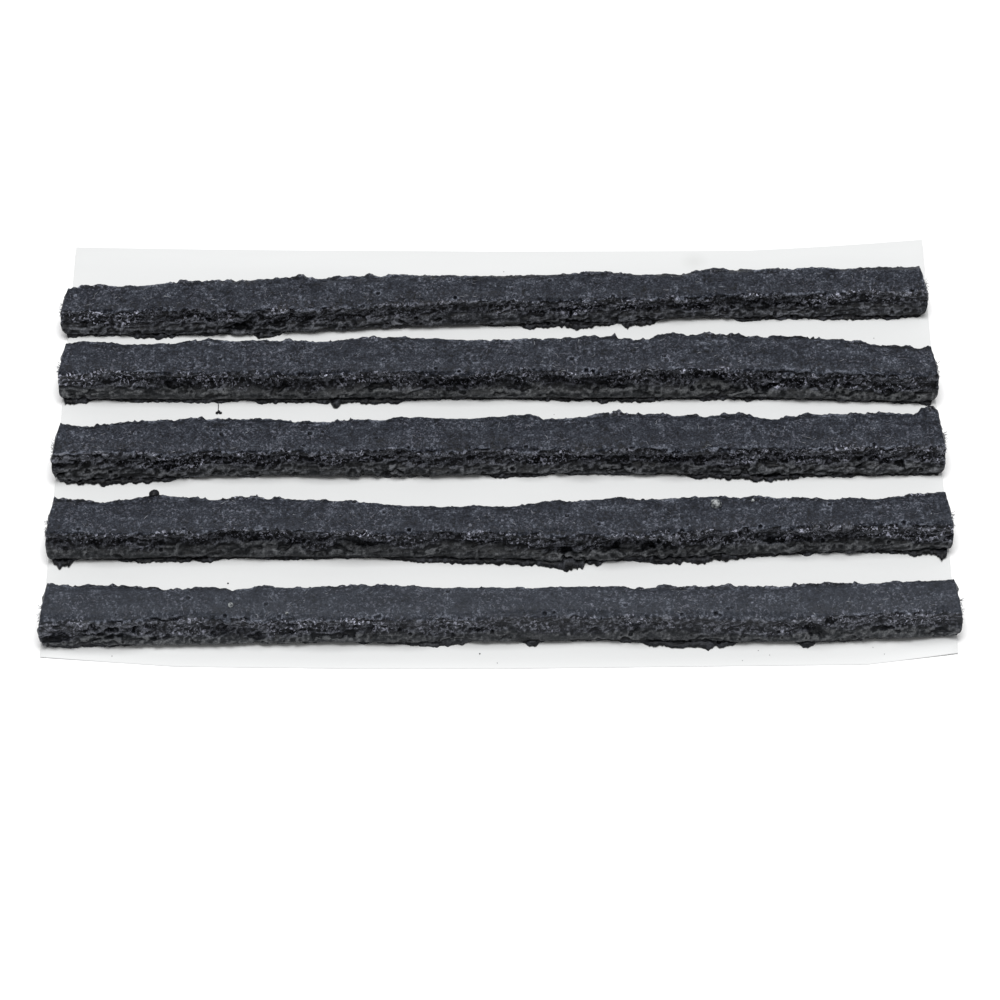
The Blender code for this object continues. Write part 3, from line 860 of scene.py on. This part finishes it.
def gum_rubber():
    """Uncured butyl rubber with carbon black. Its pressed top is a matt slate, partly bloom of the filler and
    partly painted sheen of the overhead light; its torn sides are blacker and wetter, with grey crests
    painted lighter partly as dust and partly as light, and hollows painted darker as shade, and bright flecks
    of painted highlight; its belly, smoothed by the film, is a duller grey that is partly painted reflection
    of the bright film; its foot and far top edge are darkened with painted shade, and its pinholes are
    painted as near-black dots of shade."""
    made, tree, shader, coords = new_material("gum rubber", {"IOR": 1.5, "Specular IOR Level": 0.16})
    top, torn, belly, foot, relief_shade_and_dust, haze = (
        add(tree, "Attribute", {"attribute_name": name}).outputs["Fac"]
        for name in ("top", "torn", "belly", "foot", "relief_shade_and_dust", "haze")
    )
    # Grains of filler: the real ones are about 0.05 mm, drawn at 0.2 mm, the finest that still shows.
    grain = add(tree, "TexNoise", {"Scale": 1 / (0.2 * MM), "Detail": 3, "Roughness": 0.7}, {0: coords})
    cloud = add(tree, "TexNoise", {"Scale": 1 / (1.6 * MM), "Detail": 4}, {0: coords})
    # Strands drawn out along the strip as it was torn off: about 0.1 mm thick, drawn at 0.25 mm.
    lie = add(tree, "Mapping", {"Scale": (1 / (1.8 * MM), 1 / (0.25 * MM), 1 / (0.25 * MM))}, {0: coords})
    strand = add(tree, "TexNoise", {"Scale": 1, "Detail": 3, "Distortion": 0.5}, {0: lie})
    drawn = add(tree, "Math", {"operation": "MULTIPLY_ADD", 1: -0.75, 2: 0.85}, {0: top})
    weave = add(tree, "Mix", {}, {0: drawn, 2: grain, 3: strand})
    # How light a point is, as a place on the colour ramps: from its relief, which paints shade into hollows
    # and light onto crests, and from the patterns.
    tone = relief_shade_and_dust
    for pattern, weight in ((weave, 0.8), (grain, 1.8), (cloud, 1.3)):
        tone = add(tree, "Math", {"operation": "MULTIPLY_ADD", 1: weight}, {0: pattern, 2: tone})
    tone = add(tree, "Math", {"operation": "MULTIPLY_ADD", 1: 0.6, 2: -0.97}, {0: tone})
    wet = ((0.2, "0f1013"), (1.0, "70727a"), (0.5, "202126"), (0.75, "43454b"))
    # The top's bluish slate: partly bloom of the filler, partly painted sheen of the overhead light.
    bloom_and_sheen = ((0.15, "05070b"), (0.95, "6a6e79"), (0.45, "1b1e27"), (0.7, "33373f"))
    # The belly's lighter grey: partly its smoothed skin, partly painted reflection of the bright film.
    smoothed = ((0.1, "0c0d0f"), (1.0, "696b6c"), (0.45, "2b2d2f"), (0.7, "444547"))
    tint = add(tree, "ValToRGB", {"stops": wet}, {0: tone})
    for share, stops in ((top, bloom_and_sheen), (belly, smoothed)):
        ramp = add(tree, "ValToRGB", {"stops": stops}, {0: tone})
        tint = add(tree, "Mix", {"data_type": "RGBA"}, {0: share, 6: tint, 7: ramp}).outputs[2]
    # Painted shade: the foot under the belly, and the far top edge, turn towards near-black.
    painted_shade = add(tree, "Math", {"operation": "MULTIPLY", 1: 0.6}, {0: foot})
    # Pinholes where bubbles have burst, painted as near-black dots of shade: about one to the millimetre,
    # in some of the cells only.
    cell = add(tree, "TexVoronoi", {"Scale": 1 / (0.8 * MM)}, {0: coords})
    rim = add(tree, "MapRange", {1: 0.13, 2: 0.22, 3: 1, 4: 0}, {0: cell})
    burst = add(tree, "MapRange", {1: 0.5, 2: 0.6}, {0: cell.outputs["Color"]})
    whole_skin = add(tree, "Math", {"operation": "MULTIPLY_ADD", 1: 0.4}, {0: top, 2: belly})
    pinhole_shade = add(tree, "Math", {"operation": "MULTIPLY"}, {0: rim, 1: burst})
    pinhole_shade = add(tree, "Math", {"operation": "MULTIPLY", "use_clamp": True}, {0: pinhole_shade, 1: whole_skin})
    # Painted highlights: bright flecks where a torn edge catches the light, about 0.1 mm across, drawn at
    # 0.3 mm.
    glint = add(tree, "TexNoise", {"Scale": 1 / (0.32 * MM), "Detail": 2, "Distortion": 0.8}, {0: coords})
    glint = add(tree, "MapRange", {1: 0.57, 2: 0.66}, {0: glint})
    patch = add(tree, "TexNoise", {"Scale": 1 / (4 * MM), "Detail": 2}, {0: coords})
    patch = add(tree, "MapRange", {1: 0.38, 2: 0.6, 3: 0.15, 4: 1.2}, {0: patch})
    painted_glints = add(tree, "Math", {"operation": "MULTIPLY_ADD", 1: 0.1}, {0: top, 2: torn})
    painted_glints = add(tree, "Math", {"operation": "MULTIPLY"}, {0: painted_glints, 1: patch})
    painted_glints = add(tree, "Math", {"operation": "MULTIPLY", "use_clamp": True}, {0: glint, 1: painted_glints})
    # Painted over in this order: the bloom haze, painted shade, painted pinhole shade and painted highlights.
    for share, code in ((haze, "43474e"), (painted_shade, "050506"), (pinhole_shade, "020203"), (painted_glints, "cccee0")):
        tint = add(tree, "Mix", {"data_type": "RGBA", 7: linear(code)}, {0: share, 6: tint}).outputs[2]
    rough = add(tree, "MapRange", {1: 0.2, 2: 0.8, 3: 0.35, 4: 0.65}, {0: tone})
    bump = add(tree, "Bump", {"Strength": 1.0, "Distance": 0.1 * MM}, {"Height": weave})
    wire(tree, shader, {"Base Color": tint, "Roughness": rough, "Normal": bump})
    return made


def mottled(name, size, detail, stops, roughness, bump=None):
    """A material that is mottled at one size, between two colours. bump is its strength and depth, if any."""
    made, tree, shader, coords = new_material(name, {"Roughness": roughness})
    mottle = add(tree, "TexNoise", {"Scale": 1 / size, "Detail": detail}, {0: coords})
    wire(tree, shader, {"Base Color": add(tree, "ValToRGB", {"stops": stops}, {0: mottle})})
    if bump:
        relief = add(tree, "Bump", {"Strength": bump[0], "Distance": bump[1]}, {"Height": mottle})
        wire(tree, shader, {"Normal": relief})
    return made


def blister_skin():
    """The thin skin of a bubble in the rubber: greyer than the rest and shiny, with a sharp glint. The pale
    end of its mottle is partly painted highlight.
    """
    return mottled("blister skin", 0.3 * MM, 3, ((0.4, "2a2e33"), (0.72, "b4b8b9")), 0.22)


def loose_fibre():
    """A single rayon fibre: a pale, slightly shiny thread, dirtied along its length by the rubber."""
    return mottled("loose rayon fibre", 0.8 * MM, 2, ((0.4, "34363c"), (0.7, "a2a5ab")), 0.5)


def soaked_yarn():
    """Rayon yarn soaked in rubber cement: brown-black, dull and uneven, as its fibres are clotted."""
    stops = ((0.3, "1d1b1a"), (0.7, "4f4a45"))
    return mottled("soaked rayon yarn", 0.2 * MM, 3, stops, 0.75, (0.7, 0.05 * MM))


def polyethylene():
    """Blown polyethylene film with a release coat: milky and satin, faintly streaked along its draw."""
    settings = {"Roughness": 0.4, "IOR": 1.51, "Specular IOR Level": 0.3}
    made, tree, shader, coords = new_material("polyethylene film", settings)
    streaks = add(tree, "Mapping", {"Scale": (1 / (30 * MM), 1 / (6 * MM), 1 / (6 * MM))}, {0: coords})
    haze = add(tree, "TexNoise", {"Scale": 1, "Detail": 3}, {0: streaks})
    tint = add(tree, "ValToRGB", {"stops": ((0.3, "d6d7d7"), (0.7, "dadbdb"))}, {0: haze})
    # A greasy smudge that a strip has left on the far margin.
    away = add(tree, "VectorMath", {"operation": "DISTANCE", 1: (23 * MM, 29.6 * MM, 0)}, {0: coords})
    smudge = add(tree, "MapRange", {1: 0.3 * MM, 2: 1.8 * MM, 3: 0.12, 4: 0}, {0: away.outputs["Value"]})
    tint = add(tree, "Mix", {"data_type": "RGBA", 7: linear("8f9088")}, {0: smudge, 6: tint})
    wire(tree, shader, {"Base Color": tint.outputs[2]})
    return made


def studio_paper():
    """Heavy white backdrop paper: matt all over, so that only shadows show on it."""
    settings = {"Base Color": linear("fcfcfc"), "Roughness": 0.9, "Specular IOR Level": 0}
    return new_material("studio paper", settings)[0]


# ---- The stage ----


def make_floor():
    """The table top, a plain sheet that isn't part of the object."""
    shape = bmesh.new()
    bmesh.ops.create_grid(shape, x_segments=1, y_segments=1, size=FLOOR_HALF)
    mesh = bpy.data.meshes.new("floor")
    shape.to_mesh(mesh)
    shape.free()
    mesh.materials.append(studio_paper())
    floor = put("floor", mesh)
    floor.location.z = -FLOOR_DROP


def make_softbox():
    """A square softbox that faces the middle of the table."""
    lamp = bpy.data.lights.new("softbox", "AREA")
    lamp.shape, lamp.size, lamp.size_y = "RECTANGLE", SOFTBOX_SIDE, SOFTBOX_SIDE
    lamp.energy = SOFTBOX_WATTS
    softbox = put("softbox", lamp)
    softbox.location = SOFTBOX_PLACE
    softbox.rotation_mode = "QUATERNION"
    softbox.rotation_quaternion = SOFTBOX_PLACE.to_track_quat("Z", "Y")


def make_camera():
    lens = bpy.data.cameras.new("camera")
    lens.lens = CAMERA_LENS
    lens.clip_start, lens.clip_end = CAMERA_CLIPS
    camera = put("camera", lens)
    back = Vector((0, -math.cos(CAMERA_ELEVATION), math.sin(CAMERA_ELEVATION)))
    camera.location = CAMERA_AIM + back * CAMERA_DISTANCE
    camera.rotation_euler = (math.pi / 2 - CAMERA_ELEVATION, 0, 0)
    bpy.context.scene.camera = camera


def make_world():
    world = bpy.data.worlds.new("studio")
    world.use_nodes = True
    background = world.node_tree.nodes["Background"]
    background.inputs["Color"].default_value = (1, 1, 1, 1)
    background.inputs["Strength"].default_value = ROOM_STRENGTH
    bpy.context.scene.world = world
    bpy.context.scene.view_settings.view_transform = "Standard"


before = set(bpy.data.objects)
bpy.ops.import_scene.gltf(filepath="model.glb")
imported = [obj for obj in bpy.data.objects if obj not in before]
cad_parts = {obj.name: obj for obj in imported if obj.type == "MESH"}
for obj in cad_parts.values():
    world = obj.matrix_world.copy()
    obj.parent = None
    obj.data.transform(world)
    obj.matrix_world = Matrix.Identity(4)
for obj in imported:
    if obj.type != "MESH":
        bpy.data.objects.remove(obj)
bpy.context.view_layer.update()
make_camera()
make_world()
make_floor()
make_softbox()
rubber, yarn = gum_rubber(), soaked_yarn()
film = make_film(polyethylene())
fibre = loose_fibre()
strips = {}
for number in PLUGS:
    strips[number] = make_strip(number, rubber)
    make_fibres(number, strips[number], fibre)
    for k in YARNS:
        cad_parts[f"plug_{number}_yarn_{k}"].material_slots[0].material = yarn
make_beads(strips, blister_skin(), rubber)
make_thread(strips[2], rubber)
bpy.context.view_layer.update()
make_crumbs(film, rubber)
bpy.context.view_layer.update()
